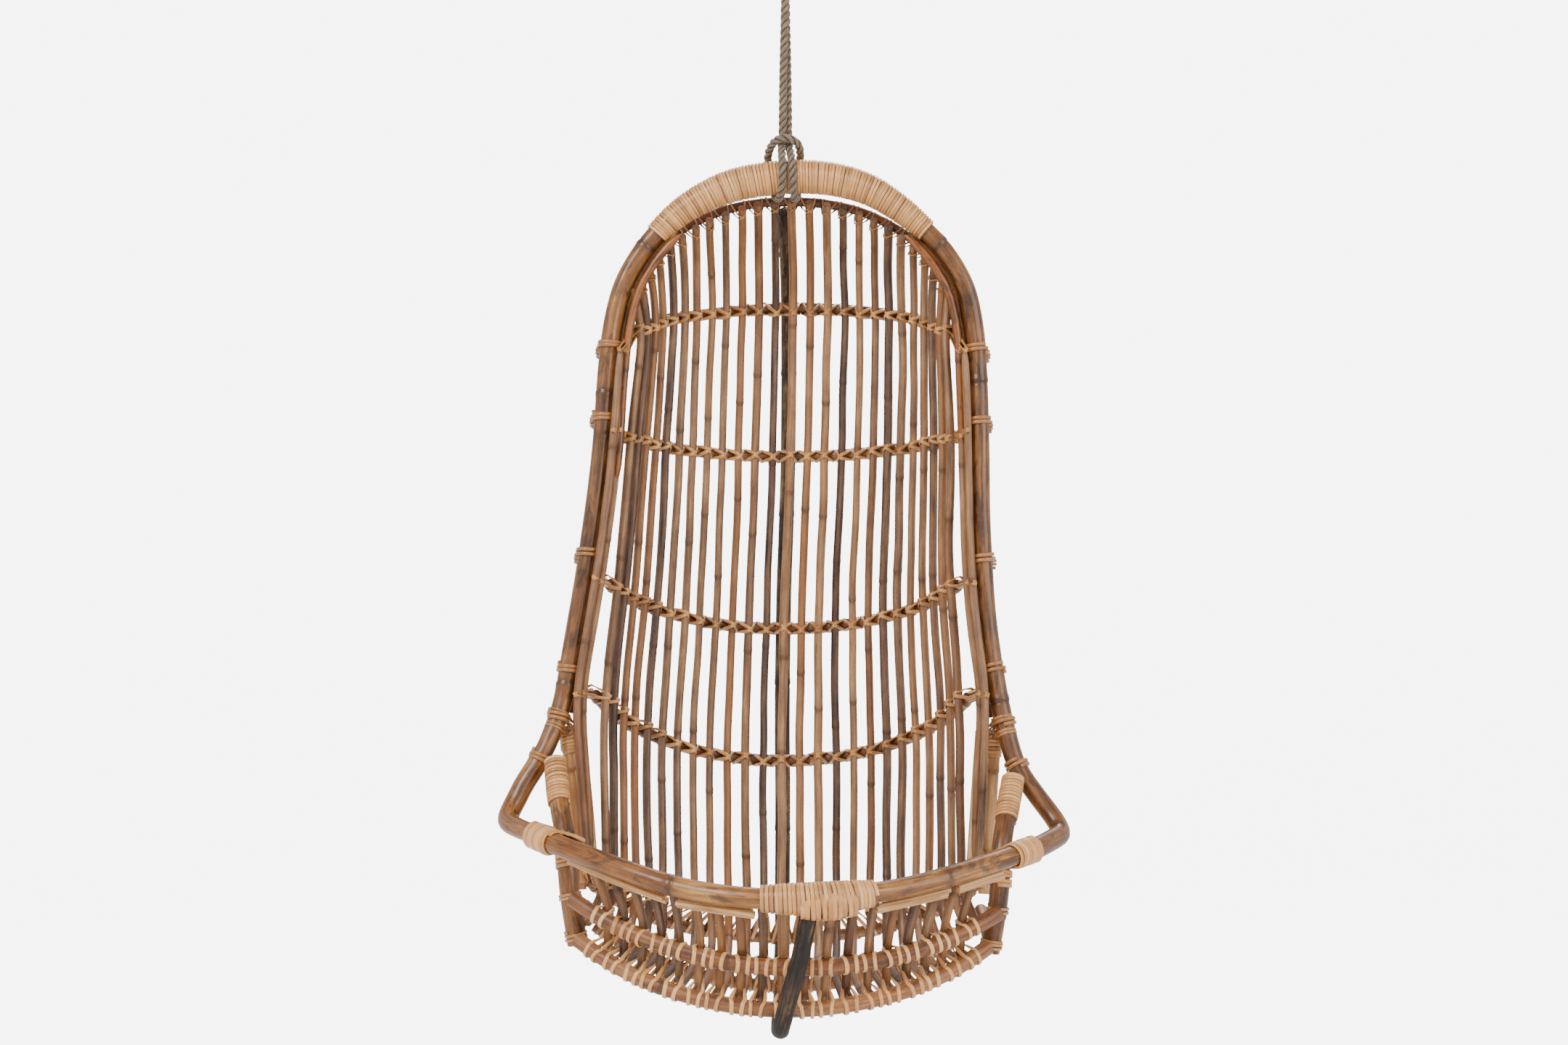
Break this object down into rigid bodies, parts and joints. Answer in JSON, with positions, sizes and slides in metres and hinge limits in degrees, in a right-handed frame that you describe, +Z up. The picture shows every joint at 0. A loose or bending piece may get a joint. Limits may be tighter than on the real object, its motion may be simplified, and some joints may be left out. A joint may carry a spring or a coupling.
{
  "type": "hanging rattan chair",
  "caption": "Hoop-backed hanging chair of bent cane with a slatted scoop seat, low open arms and a doubled rope tied to its top bar, hung from a ceiling ring.",
  "frame": {"origin": "middle of the ceiling plate's upper face, on the hanging axis", "axes": "+Z up, +Y to the back of the chair, so the sitter faces -Y; +X to the left of a sitter, to the right of someone facing the chair"},
  "size_m": [0.7513, 0.5427, 1.4582],
  "materials": {
    "frame_cane": "glossy natural rattan with dark nodes",
    "slat_cane": "satin natural rattan, grey brown to orange brown",
    "cross_cane": "satin dark rattan",
    "bark_cane": "bark-on rattan, mottled and rough",
    "straw_cane": "pale split cane",
    "cane_peel": "pale glossy cane peel",
    "rope": "twisted natural jute",
    "steel": "brushed steel"
  },
  "bodies": {
    "ceiling_mount": {"ceiling_plate": "steel", "eye_bolt": "steel"},
    "ring": {"hanging_ring": "steel"},
    "rope": {"rope_line": "rope"},
    "hitch": {"rope_hitch": "rope"},
    "chair": {"slat_01": "slat_cane", "slat_02": "slat_cane", "slat_03": "slat_cane", "slat_04": "slat_cane", "slat_05": "slat_cane", "slat_06": "slat_cane", "slat_07": "slat_cane", "slat_08": "slat_cane", "slat_09": "slat_cane", "slat_10": "slat_cane", "slat_11": "slat_cane", "slat_12": "slat_cane", "slat_13": "slat_cane", "slat_14": "slat_cane", "slat_15": "slat_cane", "slat_16": "slat_cane", "slat_17": "slat_cane", "slat_18": "slat_cane", "slat_19": "slat_cane", "slat_20": "slat_cane", "slat_21": "slat_cane", "slat_22": "slat_cane", "slat_23": "slat_cane", "slat_24": "slat_cane", "slat_25": "slat_cane", "left_side_slats": "slat_cane", "right_side_slats": "slat_cane", "cross_rail_1": "cross_cane", "cross_rail_2": "cross_cane", "cross_rail_3": "cross_cane", "cross_rail_4": "cross_cane", "cross_rail_5": "cross_cane", "inner_hoop": "cross_cane", "bottom_ring": "cross_cane", "middle_ring": "cross_cane", "side_sills": "cross_cane", "floor_rail": "cross_cane", "hoop_cane": "frame_cane", "front_rail": "frame_cane", "left_seat_post": "frame_cane", "right_seat_post": "frame_cane", "left_rear_braces": "straw_cane", "right_rear_braces": "straw_cane", "under_rail_canes": "straw_cane", "spine_cane": "bark_cane", "top_wrap": "cane_peel", "front_wrap": "cane_peel", "left_post_wrap": "cane_peel", "right_post_wrap": "cane_peel", "left_brace_wrap": "cane_peel", "right_brace_wrap": "cane_peel", "left_hoop_bands": "cane_peel", "right_hoop_bands": "cane_peel", "left_corner_lashing": "cane_peel", "right_corner_lashing": "cane_peel"}
  },
  "joints": [
    {"name": "side_sway", "type": "hinge", "parent": "ceiling_mount", "child": "ring", "pos_m": [0, 0, -0.0514], "axis": [0, 1, 0], "range_deg": [-25, 25]},
    {"name": "fore_aft_swing", "type": "hinge", "parent": "ring", "child": "rope", "pos_m": [0, 0, -0.083], "axis": [1, 0, 0], "range_deg": [-30, 30]},
    {"name": "rope_twist", "type": "hinge", "parent": "rope", "child": "hitch", "pos_m": [0, 0, -0.26685], "axis": [0, 0, 1], "range_deg": [-180, 180]},
    {"name": "chair_tip", "type": "hinge", "parent": "hitch", "child": "chair", "pos_m": [0, 0, -0.345], "axis": [1, 0, 0], "range_deg": [-12, 12]}
  ]
}
